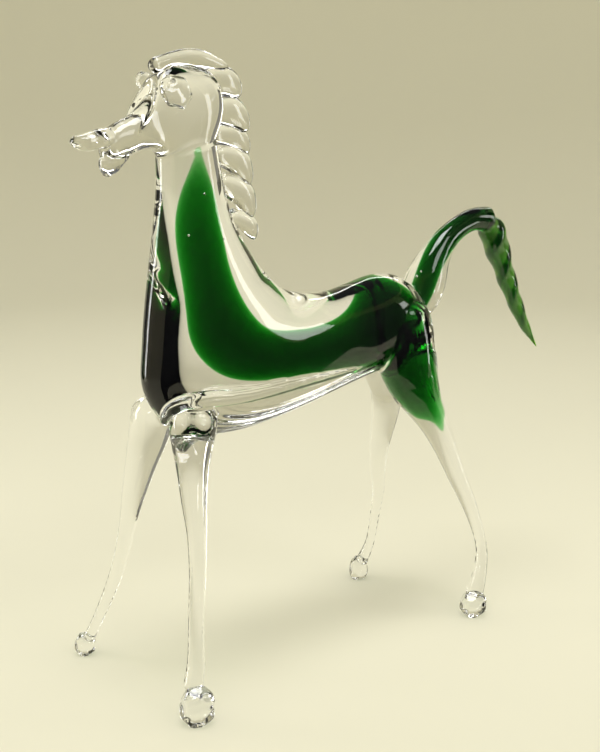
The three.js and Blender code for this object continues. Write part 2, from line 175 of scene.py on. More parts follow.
def ring(centre, across, deep, sides, swell=None):
    """An oval ring from its two half axes. Swell, a function of the angle, says how full it is there."""
    angle = np.linspace(0, 2 * math.pi, sides, endpoint=False)
    full = swell(angle) if swell else 1.0
    return centre + np.outer(np.cos(angle) * full, across) + np.outer(np.sin(angle) * full, deep)


RIB_EASE = 3  # rings over which a kink in a ribbed solid's lines is smoothed
RIB_STRIDE = 10  # nominal distance between ribs, for the curve through their half widths


def ribbed(ribs, steps=160, sides=96, swell=None):
    """A solid between a top line and an under line in the horse's middle plane.

    Each rib is (top y, top z, under y, under z, half width). Swell takes a ring's share of the way along and
    returns that ring's own swell.
    """
    ribs = np.array(ribs, float)
    halves = np.c_[np.arange(len(ribs)) * RIB_STRIDE, ribs[:, 4]]
    top, under, half = [eased(through(rows, steps), RIB_EASE) for rows in (ribs[:, :2], ribs[:, 2:4], halves)]
    rings = []
    for i in range(steps):
        high = np.array([MIDDLE_X, *top[i]])
        low = np.array([MIDDLE_X, *under[i]])
        fuller = swell(i / (steps - 1)) if swell else None
        rings.append(ring((high + low) / 2, -X * half[i, 1], (high - low) / 2, sides, fuller))
    return turned_out(solid(rings))


def turned_out(shape):
    """The same solid with its faces pointing out."""
    points, faces = shape
    volume = sum(np.dot(points[f[0]], np.cross(points[f[j]], points[f[j + 1]]))
                 for f in faces for j in range(1, len(f) - 1))
    return (points, faces) if volume > 0 else (points, [f[::-1] for f in faces])


FINER = 3  # a rod's curve is drawn this many times finer than its rings are spaced
TIP = 0.05  # how full the last ring of a round end is
TIP_RINGS = 12


def rod(stations, steps=120, sides=48, start=0.0, end=0.0, turns=0.0, ease=3, swell=None):
    """A rod drawn through stations (x, y, z, half width, half depth).

    It is round over the lengths start and end, and makes a number of turns about its own line.
    """
    fine = steps * FINER
    rows, length = evenly(eased(through(stations, fine), ease * FINER), fine)
    run = np.linspace(0, length, fine)
    spots = spread(length, steps, start, end)
    rows = np.stack([np.interp(spots, run, column) for column in rows.T], axis=1)
    ahead = np.gradient(rows[:, :3], spots, axis=0)
    ahead /= np.linalg.norm(ahead, axis=1)[:, None]
    rings = []
    for at, row, way in zip(spots, rows, ahead):
        across = X - way * way[0]
        across /= np.linalg.norm(across)
        spin = Matrix.Rotation(at / length * turns * 2 * math.pi, 3, Vector(way))
        across = np.array(spin @ Vector(across))
        deep = np.cross(way, across)
        full = dome(at, start) * dome(length - at, end)
        rings.append(ring(row[:3], across * (row[3] * full), deep * (row[4] * full), sides, swell))
    return turned_out(solid(rings))


def dome(at, length):
    """How full a round end of that length is at a distance from its tip."""
    return 1.0 if at >= length else max(TIP, math.sqrt(1 - (1 - at / length) ** 2))


def spread(length, steps, start, end):
    """Distances along a rod, closer together where an end is round."""
    bend = 1 - np.cos(np.linspace(0, math.pi / 2, TIP_RINGS))
    straight = np.linspace(start, length - end, steps)
    first = start * bend[:-1] if start else []
    last = length - end * bend[-2::-1] if end else []
    return np.concatenate([first, straight, last])


GOLDEN_ANGLE = math.pi * (3 - math.sqrt(5))


def pinched(shape, count, depth, turn):
    """The solid with a count of flats pressed into it all round, as tweezers leave them.

    Depth is a share of the solid's reach, and turn is the first flat's angle.
    """
    points, faces = shape
    middle = (points.min(0) + points.max(0)) / 2
    out = points - middle
    for i in range(count):
        rise = 1 - 2 * (i + 0.5) / count
        angle = turn + i * GOLDEN_ANGLE
        flat = math.sqrt(1 - rise * rise)
        way = np.array([flat * math.cos(angle), flat * math.sin(angle), rise])
        reach = out @ way
        out -= np.outer(np.maximum(reach - reach.max() * (1 - depth), 0), way)
    return out + middle, faces


def joined(shapes):
    """Several solids as one list of points and faces."""
    points, faces, shift = [], [], 0
    for p, f in shapes:
        points.append(p)
        faces += [tuple(i + shift for i in face) for face in f]
        shift += len(p)
    return np.vstack(points), faces


def linked(name, data):
    """A new object in the scene that shows a mesh, a light or a camera."""
    thing = bpy.data.objects.new(name, data)
    bpy.context.scene.collection.objects.link(thing)
    return thing


def mesh_object(name, shape):
    points, faces = shape
    mesh = bpy.data.meshes.new(name)
    mesh.from_pydata((points * MM).tolist(), [], faces)
    mesh.shade_smooth()
    return linked(name, mesh)


def evaluated(piece):
    """The mesh of a piece with its modifiers applied."""
    return bpy.data.meshes.new_from_object(piece.evaluated_get(bpy.context.evaluated_depsgraph_get()))


def vertices_of(mesh):
    flat = np.empty(len(mesh.vertices) * 3, np.float32)
    mesh.vertices.foreach_get("co", flat)
    return flat.reshape(-1, 3).astype(float)


# ---- Fusing: bits of hot glass flow into each other ----
VOXEL = 0.45
FLOW_PASSES = 9
FLOW = 0.6  # how far each pass draws a point towards the middle of its neighbours
HELD, FREE = 0.08, 0.22  # a point that flowed less than HELD goes back where it was, and past FREE it stays
SHARP_FROM = 38  # degrees between two faces of a tacked piece from which their edge is sharp


def fused(name, shapes):
    """One closed skin round several solids, with the creases between them rounded as in molten glass."""
    points, faces = joined(shapes)
    rough = mesh_object(name + "_rough", (points, faces))
    remesh = rough.modifiers.new("voxels", "REMESH")
    remesh.mode = "VOXEL"
    remesh.voxel_size = VOXEL * MM
    mesh = evaluated(rough)
    bpy.data.objects.remove(rough)
    flowed = vertices_of(mesh) / MM
    edges = np.empty(len(mesh.edges) * 2, np.int32)
    mesh.edges.foreach_get("vertices", edges)
    a, b = edges.reshape(-1, 2).T
    here, there = np.r_[a, b], np.r_[b, a]
    neighbours = np.bincount(here, minlength=len(flowed))[:, None]
    for _ in range(FLOW_PASSES):
        total = [np.bincount(here, column[there], len(flowed)) for column in flowed.T]
        flowed = flowed * (1 - FLOW) + FLOW * np.stack(total, axis=1) / neighbours
    tree = BVHTree.FromPolygons(points.tolist(), faces)
    for i, spot in enumerate(flowed):
        nearest, _, _, distance = tree.find_nearest(spot.tolist())
        flowed[i] += (np.array(nearest) - spot) * between(FREE, HELD, distance)
    mesh.vertices.foreach_set("co", (flowed * MM).astype(np.float32).ravel())
    mesh.name = name
    mesh.update()
    mesh.shade_smooth()
    return linked(name, mesh)


def added(piece, shapes):
    """Puts more closed surfaces into a piece's mesh."""
    points, faces = joined(shapes)
    work = bmesh.new()
    work.from_mesh(piece.data)
    corners = [work.verts.new(p * MM) for p in points]
    for face in faces:
        work.faces.new([corners[k] for k in face]).smooth = True
    work.to_mesh(piece.data)
    work.free()


def seated(name, shape, tools):
    """A bit of glass tacked on to others, cut back so that a hair of air stays between them."""
    piece = mesh_object(name, shape)
    for tool in tools:
        cut = piece.modifiers.new("seat", "BOOLEAN")
        cut.operation, cut.solver, cut.object = "DIFFERENCE", "MANIFOLD", tool
    mesh = evaluated(piece)
    piece.modifiers.clear()
    piece.data = mesh
    mesh.shade_smooth()
    mesh.set_sharp_from_angle(angle=math.radians(SHARP_FROM))
    return piece


def swollen(piece, by):
    """A copy whose skin lies a little further out."""
    mesh = piece.data.copy()
    normals = np.empty(len(mesh.vertices) * 3, np.float32)
    mesh.vertices.foreach_get("normal", normals)
    mesh.vertices.foreach_set("co", (vertices_of(mesh).ravel() + normals * by * MM).astype(np.float32))
    mesh.update()
    return linked(piece.name + "_swollen", mesh)


# ---- Shapes ----
half_trunk, half_neck, half_head, half_core = (
    TRUNK_WIDTH / 2, NECK_WIDTH / 2, HEAD_WIDTH / 2, CORE_THICKNESS / 2)

neck_top = (NAPE_Y - 3, neck_z(1.05), chest_y(6.5), neck_z(0.96), half_neck)
body_ribs = [
    neck_top,
    (chest_y(23), neck_z(0.85), chest_y(6.5), neck_z(0.77), half_neck * 1.05),
    (chest_y(25.5), neck_z(0.6), chest_y(5.5), neck_z(0.55), half_neck * 1.2),
    (chest_y(30.5), neck_z(0.37), chest_y(4), neck_z(0.3), half_neck * 1.38),
    (chest_y(37), neck_z(0.18), chest_y(2.3), neck_z(0.02), half_trunk * 0.92),
    (chest_y(43), neck_z(0.06), chest_y(1.3), trunk_z(0.7), half_trunk),
    (trunk_y(0.54), trunk_z(1.02), chest_y(1), trunk_z(0.34), half_trunk * 1.02),
    (trunk_y(0.6), trunk_z(0.99), chest_y(9), trunk_z(0.0), half_trunk * 1.02),
    (trunk_y(0.64), trunk_z(0.98), chest_y(24), trunk_z(-0.1), half_trunk),
    (trunk_y(0.7), trunk_z(0.99), trunk_y(0.48), trunk_z(-0.03), half_trunk * 0.96),
    (trunk_y(0.77), trunk_z(1.03), trunk_y(0.66), trunk_z(0.08), half_trunk * 0.92),
    (trunk_y(0.84), trunk_z(1.07), trunk_y(0.81), trunk_z(0.17), half_trunk * 0.94),
    (trunk_y(0.91), trunk_z(1.06), trunk_y(0.9), trunk_z(0.19), half_trunk * 0.92),
    (trunk_y(0.965), trunk_z(0.97), trunk_y(0.97), trunk_z(0.27), half_trunk * 0.78),
    (trunk_y(1.0), trunk_z(0.84), trunk_y(1.01), trunk_z(0.4), half_trunk * 0.48),
    (trunk_y(1.015), trunk_z(0.7), trunk_y(1.02), trunk_z(0.55), half_trunk * 0.14),
]
CORDS, CORD_DEPTH = 26, 0.011
CORDS_BEGIN, CORDS_END = (0.41, 0.5), (0.8, 0.9)  # shares of the way along the body
CORDS_LOW, CORDS_REACH = 0.72, 0.34  # how far below a ring's middle they lie, and how far they reach from it


def belly_cords(share):
    """Shallow flutes that the drawing leaves along the chest's foot and the belly."""
    depth = CORD_DEPTH * between(*CORDS_BEGIN, share) * (1 - between(*CORDS_END, share))

    def swell(angle):
        away = (np.sin(angle) + CORDS_LOW) / CORDS_REACH
        return 1 + depth * np.exp(-(away**2)) * np.sin(CORDS * angle)

    return swell


body = ribbed(body_ribs, steps=220, sides=208, swell=belly_cords)

core_ribs = [
    (chest_y(16.6), neck_z(1.0), chest_y(16), neck_z(0.99), half_core * 0.06),
    (chest_y(17.7), neck_z(0.88), chest_y(14.9), neck_z(0.875), half_core * 0.27),
    (chest_y(19.1), neck_z(0.74), chest_y(13.5), neck_z(0.73), half_core * 0.56),
    (chest_y(20.2), neck_z(0.575), chest_y(12.5), neck_z(0.56), half_core * 0.75),
    (chest_y(21.6), neck_z(0.41), chest_y(12.6), neck_z(0.385), half_core * 0.85),
    (chest_y(23), neck_z(0.26), chest_y(13.3), neck_z(0.2), half_core * 0.9),
    (chest_y(25.5), neck_z(0.1), chest_y(13.8), neck_z(0), half_core * 0.94),
    (chest_y(29), trunk_z(0.93), chest_y(14.5), trunk_z(0.73), half_core),
    (chest_y(33.5), trunk_z(0.78), chest_y(18.5), trunk_z(0.52), half_core),
    (chest_y(39), trunk_z(0.71), chest_y(27), trunk_z(0.38), half_core),
    (trunk_y(0.51), trunk_z(0.67), trunk_y(0.42), trunk_z(0.34), half_core),
    (trunk_y(0.6), trunk_z(0.645), trunk_y(0.56), trunk_z(0.32), half_core),
    (trunk_y(0.7), trunk_z(0.68), trunk_y(0.69), trunk_z(0.33), half_core * 1.05),
    (trunk_y(0.79), trunk_z(0.79), trunk_y(0.8), trunk_z(0.33), half_core * 1.35),
    (trunk_y(0.87), trunk_z(0.91), trunk_y(0.87), trunk_z(0.31), half_core * 1.6),
    (trunk_y(0.93), trunk_z(0.86), trunk_y(0.935), trunk_z(0.38), half_core * 1.3),
    (trunk_y(0.97), trunk_z(0.72), trunk_y(0.975), trunk_z(0.52), half_core * 0.55),
]

TAIL_ROOT_Y, TAIL_ROOT_Z = trunk_y(0.985), trunk_z(0.7)


def tail_station(back, share, half):
    """A round station of the tail, so far behind its root and at a share of its height."""
    z = TAIL_ROOT_Z + share * (trunk_z(1) + TAIL_HEIGHT - TAIL_ROOT_Z)
    return (MIDDLE_X, TAIL_ROOT_Y + back, z, half, half)


TAIL_PATH = [(1.5, 0, 0.9), (5.3, 0.18, 1), (7.4, 0.35, 0.96), (9.8, 0.53, 0.78), (13.9, 0.73, 0.6),
             (19, 0.86, 0.52), (25, 0.94, 0.54), (31.5, 0.92, 0.62)]
tail_casing = rod([tail_station(b, s, TAIL_THICKNESS / 2 * size) for b, s, size in TAIL_PATH])
tail_core = rod([tail_station(b, s, TAIL_CORE_THICKNESS / 2) for b, s, _ in TAIL_PATH])
_, bend_y, bend_z, _, _ = tail_station(*TAIL_PATH[-1])

# Shares of the switch's reach, of its drop and of its thickness
SWITCH_PATH = [(0, 0, 0.9), (0.09, 0.1, 1.24), (0.27, 0.32, 0.97), (0.5, 0.58, 0.74), (0.74, 0.81, 0.5),
               (1, 1, 0.12)]
STRAND_WAIST = 0.35  # how thin the strands' ring is between the two of them


def switch_rod(fullness, thinness, start, end, swell=None):
    """The switch, or a strand inside it: fullness of its width, and thinness of its thickness."""
    rows = [(MIDDLE_X, bend_y + reach * SWITCH_REACH, bend_z - drop * SWITCH_DROP,
             SWITCH_THICKNESS / 2 * size * thinness, SWITCH_WIDTH / 2 * size * fullness)
            for reach, drop, size in SWITCH_PATH]
    return rod(rows, steps=240, start=start, end=end, turns=SWITCH_TURNS, swell=swell)


def two_strands(angle):
    return STRAND_WAIST + (1 - STRAND_WAIST) * np.sin(angle) ** 2


switch_skin = switch_rod(fullness=1, thinness=1, start=2.5, end=1)
switch_body = switch_rod(fullness=0.72, thinness=0.78, start=1.5, end=4)
switch_strands = switch_rod(fullness=0.93, thinness=0.93, start=1.5, end=5, swell=two_strands)

# Each leg is the distance between its pair's tops, its bead's width and height, and its stations, which are
# (share of LEG_TOP, distance behind the sole, half thickness).
LEG_TOP = trunk_z(0.3)
LEGS = {
    "left_fore": (SHOULDER_SPREAD, 8.8, 10, [
        (0.06, 0.3, 2.6), (0.17, 2.1, 2.3), (0.25, 3.4, 2.05), (0.34, 4.8, 2), (0.45, 6.9, 2.1),
        (0.58, 8.7, 2.5), (0.68, 9.4, 3.2), (0.77, 10.4, 3.9), (0.84, 11.4, 4.9), (0.9, 12.4, 5.9),
        (0.95, 13.4, 6.3), (1, 14.6, 6.1)]),
    "right_fore": (SHOULDER_SPREAD, 5.6, 6.5, [
        (0.05, 0.4, 1.7), (0.11, 1.8, 1.45), (0.19, 4, 1.6), (0.27, 5.9, 1.75), (0.36, 7.4, 1.9),
        (0.44, 8, 2.05), (0.53, 8.4, 2.4), (0.65, 9.2, 3.4), (0.76, 10.3, 4.4), (0.83, 11.2, 5.2),
        (0.9, 11.8, 5.7), (0.98, 12.4, 5.7)]),
    "left_hind": (HIP_SPREAD, 8, 7.4, [
        (0.07, 1.7, 2.6), (0.13, 3.8, 2.2), (0.19, 5.6, 1.8), (0.24, 6.3, 1.65), (0.31, 5.5, 1.7),
        (0.43, 2.8, 2.2), (0.53, -0.3, 2.7), (0.62, -2.8, 3.1), (0.7, -5.2, 3.7),
        (0.77, -7.7, 4.5), (0.83, -10.2, 5.6), (0.92, -13.3, 7.4), (1.06, -15.3, 7.6)]),
    "right_hind": (HIP_SPREAD, 5.6, 7.5, [
        (0.04, 0, 1.9), (0.09, 0.7, 1.6), (0.15, 2.5, 1.4), (0.23, 2.8, 1.4), (0.32, 2.9, 1.55),
        (0.4, 2.8, 1.9), (0.5, 1.1, 2.4), (0.61, 0.4, 3.1), (0.69, 0.8, 3.7), (0.78, 0.7, 4.4),
        (0.88, -0.8, 5.4), (1.05, -4.7, 6)]),
}
LEG_CORDS, LEG_CORD_DEPTH, LEG_CORD_TURN = 5, 0.022, 0.6
BEAD_GRIP = 2.2  # how far a leg runs into its bead
GRIP_LEAN = 0.6  # how far back it stands in the bead, as a share of its lowest station's distance
STATION_GAP = 0.02  # a station closer to the bead than this share is left out
FOOT_PROFILE = [(0, 0.68), (0.16, 0.92), (0.42, 1), (0.72, 0.86), (1, 0.6)]  # shares of height and half width
FOOT_OVAL = 0.06  # how much longer than round a bead is, and how much narrower
FOOT_DOME = 0.3  # the share of its height that is rounded over


def leg_x(name, share):
    """Where a leg stands across the horse, at a share of LEG_TOP."""
    side = math.copysign(1, soles[name][0] - MIDDLE_X)
    out = abs(soles[name][0] - MIDDLE_X)
    return MIDDLE_X + side * (out + share * (LEGS[name][0] / 2 - out))


def leg_cords(angle):
    """Faint flutes along a drawn leg."""
    return 1 + LEG_CORD_DEPTH * np.sin(LEG_CORDS * angle + LEG_CORD_TURN)


def leg(name):
    _, _, bead_height, stations = LEGS[name]
    low = (bead_height - BEAD_GRIP) / LEG_TOP
    rows = [(leg_x(name, s), soles[name][1] + back, s * LEG_TOP, half, half)
            for s, back, half in stations if s > low + STATION_GAP]
    _, back, half = stations[0]
    rows.insert(0, (leg_x(name, low), soles[name][1] + back * GRIP_LEAN, low * LEG_TOP, half, half))
    return rod(rows, end=stations[-1][2], swell=leg_cords)


def foot(name):
    """A bead with pinched facets, pressed flat underneath."""
    _, width, height, _ = LEGS[name]
    x, y, _ = soles[name]
    rows = [(x, y, s * height, width / 2 * size * (1 - FOOT_OVAL), width / 2 * size * (1 + FOOT_OVAL))
            for s, size in FOOT_PROFILE]
    bead = rod(rows, steps=40, end=height * FOOT_DOME, ease=2)
    points, faces = pinched(bead, count=14, depth=0.1, turn=y)
    points[:, 2] = np.maximum(points[:, 2], 0)
    return points, faces


def round_rod(rows, start, end):
    """A rod of round stations (x, y, z, half thickness)."""
    return rod([(x, y, z, half, half) for x, y, z, half in rows], start=start, end=end)


# Glass that ran into the fold between each thigh and the rump, as (distance out, distance behind the sole,
# share of the trunk's depth, half thickness)
GUSSETS = {
    "left_hind": [(3.6, -14.5, 0.86, 6.6), (5.4, -14.8, 0.6, 8.2), (7, -14.6, 0.3, 8.4),
                  (8.2, -12.6, 0.02, 6.8), (9, -10.4, -0.2, 4.6)],
    "right_hind": [(3, -7.5, 0.8, 6), (4.8, -6.6, 0.5, 7.4), (6.3, -4.6, 0.22, 6.8),
                   (7.4, -2.2, -0.06, 5), (8, -0.8, -0.25, 3.6)],
}
# A fold of glass over the left fore leg's top, which runs back along the flank, as (distance to the left,
# distance behind the chest, z, half thickness)
SHOULDER_BAND = [(8.5, 0.4, 70.5, 1.2), (10.4, 0.2, 74.6, 1.9), (11.6, 4.5, 76.4, 2.1), (11.9, 11, 76.2, 2.1),
                 (11.8, 18, 75.4, 2), (11.4, 27, 75.2, 1.9), (11, 38, 75.6, 1.7), (10.2, 50, 75.9, 1.4),
                 (9.2, 62, 76, 0.9)]
# Glass that filled the fold between the fore legs, in the same terms
BRISKET = [(-2.6, 20, 76, 5.6), (-2.6, 20, 70, 5.8), (-2.6, 19.8, 65, 5), (-2.6, 19.4, 61, 3)]


def gusset(name):
    side = math.copysign(1, soles[name][0])
    rows = [(MIDDLE_X + side * out, soles[name][1] + back, trunk_z(share), half)
            for out, back, share, half in GUSSETS[name]]
    return round_rod(rows, start=5, end=5)


def fold(path, start, end):
    return round_rod([(MIDDLE_X + out, chest_y(back), z, half) for out, back, z, half in path], start, end)


STREAK_PATH = [(1.12, -14, 0.9), (1.02, -13.8, 1), (0.92, -13.3, 1), (0.83, -10.2, 0.64),
               (0.77, -6.7, 0.28), (0.715, -4.7, 0.07)]
STREAK_LEAN, LEAN_FROM = 9, 0.87  # above LEAN_FROM the streak leans in to meet the core


def thigh_streak():
    """Green drawn down from the core into the left thigh."""
    rows = []
    for share, back, size in STREAK_PATH:
        x = leg_x("left_hind", share) - max(0, share - LEAN_FROM) * STREAK_LEAN
        rows.append((x, soles["left_hind"][1] + back, share * LEG_TOP, STREAK_THICKNESS / 2 * size))
    return round_rod(rows, start=0, end=1.5)


head_ribs = [
    (neck_top[0] - 0.8, neck_top[1] - 2, neck_top[2] + 0.8, neck_top[3] - 2, half_neck * 0.9),
    (head_y(0.07), head_z(0.16), head_y(0.53), head_z(-0.02), half_head * 1.04),
    (head_y(0.0), head_z(0.48), head_y(0.61), head_z(0.03), half_head * 1.03),
    (head_y(0.03), head_z(0.78), head_y(0.7), head_z(0.01), half_head * 0.99),
    (head_y(0.2), head_z(0.98), head_y(0.76), head_z(-0.04), half_head * 0.93),
    (head_y(0.42), head_z(1.01), head_y(0.81), head_z(-0.08), half_head * 0.85),
    (head_y(0.54), head_z(0.87), head_y(0.85), head_z(-0.12), half_head * 0.78),
    (head_y(0.565), head_z(0.65), head_y(0.89), head_z(-0.15), half_head * 0.71),
    (head_y(0.69), head_z(0.46), head_y(0.92), head_z(-0.15), half_head * 0.64),
    (head_y(0.86), head_z(0.33), head_y(0.94), head_z(-0.08), half_head * 0.57),
    (head_y(0.91), head_z(0.25), head_y(0.945), head_z(0.03), half_head * 0.46),
]
head = ribbed(head_ribs, sides=72)
MOUTH_Y = head_y(0.97)


def lip_y(share):
    return MOUTH_Y - share * LIP_LENGTH


lip = ribbed([
    (lip_y(-0.5), head_z(0.3), lip_y(-0.38), head_z(0.08), 2.6),
    (lip_y(0), head_z(0.29), lip_y(0), head_z(0.07), 3.6),
    (lip_y(0.45), head_z(0.25), lip_y(0.4), head_z(0.04), 3.9),
    (lip_y(0.8), head_z(0.22), lip_y(0.7), head_z(0.07), 2.9),
    (lip_y(1), head_z(0.17), lip_y(0.96), head_z(0.14), 0.9),
], steps=60, sides=48)
jaw_z = head_z(0) - JAW_DROP
jaw = ribbed([
    (MOUTH_Y + 4.5, head_z(0.05), MOUTH_Y + 7.5, head_z(-0.08), 2.6),
    (MOUTH_Y + 1.5, head_z(-0.02), MOUTH_Y + 5.5, head_z(-0.16), 3),
    (MOUTH_Y + 0.1, head_z(-0.09), MOUTH_Y + 4, head_z(-0.24), 2.8),
    (MOUTH_Y + 0.4, jaw_z + 2.6, MOUTH_Y + 3.1, jaw_z + 1.2, 2.1),
    (MOUTH_Y + 1.4, jaw_z + 0.3, MOUTH_Y + 2, jaw_z, 0.8),
], steps=60, sides=48)

EAR_LENGTH, EAR_WIDTH, EAR_THICKNESS, FAR_EAR_SIZE = 9.2, 8.4, 4.4, 0.62
EAR_Y, EAR_Z = head_y(0.49), head_z(0.73)
EAR_LEAF = [(0.5, 0.12, 0.25), (0.15, 0.02, 0.85), (-0.2, -0.1, 1), (-0.5, -0.06, 0.6)]
EAR_PLUMP = 0.6  # the share of its thickness that an ear keeps however narrow it is


def ear(side, scale):
    """A pinched leaf on the side of the head. A smaller one is set higher, so that its top stays level."""
    x = MIDDLE_X + side * half_head
    z = EAR_Z + (1 - scale) * EAR_WIDTH / 2
    rows = [(x, EAR_Y - ahead * EAR_LENGTH * scale, z + up * EAR_LENGTH * scale,
             EAR_THICKNESS / 2 * (EAR_PLUMP + (1 - EAR_PLUMP) * size) * scale, EAR_WIDTH / 2 * size * scale)
            for ahead, up, size in EAR_LEAF]
    return pinched(rod(rows, steps=60, start=1.5, end=2), count=11, depth=0.17, turn=0.4)


CREST = 2.2  # half the mane's width
LOBE_SIZES = ((0.9, 0.7), (1, 1), (0.45, 0.45))  # shares of the width and the depth at root, bow and tip
# Each lobe's root, bow and tip, as (distance behind the chest, share of the neck's rise), and its half depth
LOBES = {
    "mane_crown": ((4, 1.49), (16.5, 1.53), (27, 1.47), 2.5),
    "mane_lobe_1": ((17.5, 1.4), (25.8, 1.385), (30.8, 1.3), 3.9),
    "mane_lobe_2": ((19, 1.22), (27.6, 1.2), (33, 1.085), 4.1),
    "mane_lobe_3": ((21, 1.08), (28.8, 1.05), (33.2, 0.945), 3.2),
    "mane_lobe_4": ((22, 0.96), (29.6, 0.9), (33.4, 0.745), 3.5),
    "mane_lobe_5": ((23, 0.79), (30.8, 0.7), (34, 0.535), 3.5),
    "mane_lobe_6": ((26.5, 0.58), (32.6, 0.5), (34.8, 0.395), 2.5),
}


def lobe(name):
    root, bow, tip, depth = LOBES[name]
    rows = [(MIDDLE_X, chest_y(y), neck_z(z), CREST * wide, depth * deep)
            for (y, z), (wide, deep) in zip((root, bow, tip), LOBE_SIZES)]
    return rod(rows, steps=60, start=2, end=2.5)


BUBBLES = [(6.2, 19.4, 114, 0.32), (6.4, 14.5, 125.5, 0.28), (7.2, 9.5, 116, 0.3), (8.4, 84, 98, 0.35),
           (8, 86, 99, 0.25)]
BUBBLE_RINGS, BUBBLE_SIDES, BUBBLE_CAP = 9, 16, 0.1


def bubble(out, back, z, half):
    """A seed of air in the glass. Its faces point into the bubble's own air."""
    centre = np.array([MIDDLE_X + out, chest_y(back), z])
    tilt = np.linspace(BUBBLE_CAP, math.pi - BUBBLE_CAP, BUBBLE_RINGS)
    rings = []
    for t in tilt:
        across = half * math.sin(t)
        rings.append(ring(centre - Z * half * math.cos(t), X * across, Y * across, BUBBLE_SIDES))
    points, faces = turned_out(solid(rings))
    return points, [f[::-1] for f in faces]


# ---- Glass ----
def glass(name, ior, absorb=None, density=0.0, clears_shadow=None):
    """Glass that may take up colour through its depth, and may let a share of the light into its shadow."""
    material = bpy.data.materials.new(name)
    material.use_nodes = True
    nodes, links = material.node_tree.nodes, material.node_tree.links
    shader = nodes["Principled BSDF"]
    shader.inputs["Base Color"].default_value = (1, 1, 1, 1)
    shader.inputs["Roughness"].default_value = 0.0
    shader.inputs["IOR"].default_value = ior
    shader.inputs["Transmission Weight"].default_value = 1.0
    if clears_shadow:
        path = nodes.new("ShaderNodeLightPath")
        clear = nodes.new("ShaderNodeBsdfTransparent")
        clear.inputs["Color"].default_value = (*clears_shadow, 1)
        mix = nodes.new("ShaderNodeMixShader")
        links.new(path.outputs["Is Shadow Ray"], mix.inputs[0])
        links.new(shader.outputs[0], mix.inputs[1])
        links.new(clear.outputs[0], mix.inputs[2])
        links.new(mix.outputs[0], nodes["Material Output"].inputs["Surface"])
    if absorb:
        volume = nodes.new("ShaderNodeVolumeAbsorption")
        volume.inputs["Color"].default_value = (*absorb, 1)
        volume.inputs["Density"].default_value = density
        links.new(volume.outputs[0], nodes["Material Output"].inputs["Volume"])
    return material, shader


def drawn_surface(material, shader, scale, stretch, height):
    """Faint cords along the drawing direction, as a bump."""
    nodes, links = material.node_tree.nodes, material.node_tree.links
    place = nodes.new("ShaderNodeTexCoord")
    squeeze = nodes.new("ShaderNodeMapping")
    squeeze.inputs["Scale"].default_value = stretch
    grain = nodes.new("ShaderNodeTexNoise")
    grain.inputs["Scale"].default_value = scale
    grain.inputs["Detail"].default_value = 1.0
    bump = nodes.new("ShaderNodeBump")
    bump.inputs["Strength"].default_value = 1.0
    bump.inputs["Distance"].default_value = height * MM
    links.new(place.outputs["Object"], squeeze.inputs[0])
    links.new(squeeze.outputs[0], grain.inputs["Vector"])
    links.new(grain.outputs[0], bump.inputs["Height"])
    links.new(bump.outputs[0], shader.inputs["Normal"])


CRYSTAL_IOR = 1.5
INSIDE_IOR = 1.0  # the coloured glass lies inside the crystal, which has already bent the light
crystal, crystal_shader = glass("crystal", CRYSTAL_IOR, clears_shadow=(0.88, 0.9, 0.88))
drawn_surface(crystal, crystal_shader, scale=90, stretch=(1, 1, 0.5), height=0.02)
core_green, _ = glass("green_core", INSIDE_IOR, absorb=(0.0, 0.69, 0.08), density=1000)
thread_green, _ = glass("tail_green", INSIDE_IOR, absorb=(0.0, 0.64, 0.08), density=1900)
switch_green, switch_shader = glass("green_switch", INSIDE_IOR)
switch_shader.inputs["Base Color"].default_value = (0.34, 0.72, 0.12, 1)
switch_shader.inputs["Transmission Weight"].default_value = 0.6
switch_shader.inputs["Roughness"].default_value = 0.4
strand_green, _ = glass("green_strands", INSIDE_IOR, absorb=(0.0, 0.66, 0.05), density=800)


# ---- Pieces ----
def finished(piece, material, slot, *nodes):
    """Gives a piece its glass, and hides the CAD nodes it stands for."""
    piece.data.materials.clear()
    piece.data.materials.append(material)
    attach(piece, "root")
    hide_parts(*nodes)


bits = [body, head, tail_casing, switch_skin, pinched(lip, count=12, depth=0.07, turn=0.2), jaw]
bits += [leg(name) for name in LEGS] + [gusset(name) for name in GUSSETS]
bits += [fold(SHOULDER_BAND, start=1.5, end=3), fold(BRISKET, start=3, end=3)]
horse = fused("crystal_horse", bits)
horse_room = swollen(horse, SEAM)
for name in LEGS:
    bead = seated(f"{name}_foot_bead", foot(name), [horse_room])
    finished(bead, crystal, "clear_glass", f"{name}_foot")
for side, word, scale in ((1, "left", 1), (-1, "right", FAR_EAR_SIZE)):
    leaf = seated(f"{word}_ear_leaf", ear(side, scale), [horse_room])
    finished(leaf, crystal, "clear_glass", f"{word}_ear")
lobe_above = []
for name in LOBES:
    curl = seated(name.replace("mane_", ""), lobe(name), [horse_room, *lobe_above])
    finished(curl, crystal, "clear_glass", name)
    for room in lobe_above:
        bpy.data.objects.remove(room)
    lobe_above = [swollen(curl, SEAM)]
for room in (horse_room, *lobe_above):
    bpy.data.objects.remove(room)
added(horse, [bubble(*b) for b in BUBBLES])
finished(horse, crystal, "clear_glass", "body_casing", "head", "tail_casing", "upper_lip", "lower_jaw",
         *[f"{name}_leg" for name in LEGS])
finished(mesh_object("core", ribbed(core_ribs, sides=64)), core_green, "green_glass", "green_core")
finished(mesh_object("thigh_streak", thigh_streak()), core_green, "green_glass", "left_thigh_streak")
finished(mesh_object("tail_thread", tail_core), thread_green, "green_glass", "tail_core")
finished(mesh_object("switch", switch_body), switch_green, "light_green_glass", "tail_switch")
finished(mesh_object("switch_strands", switch_strands), strand_green, "green_glass", "tail_switch")

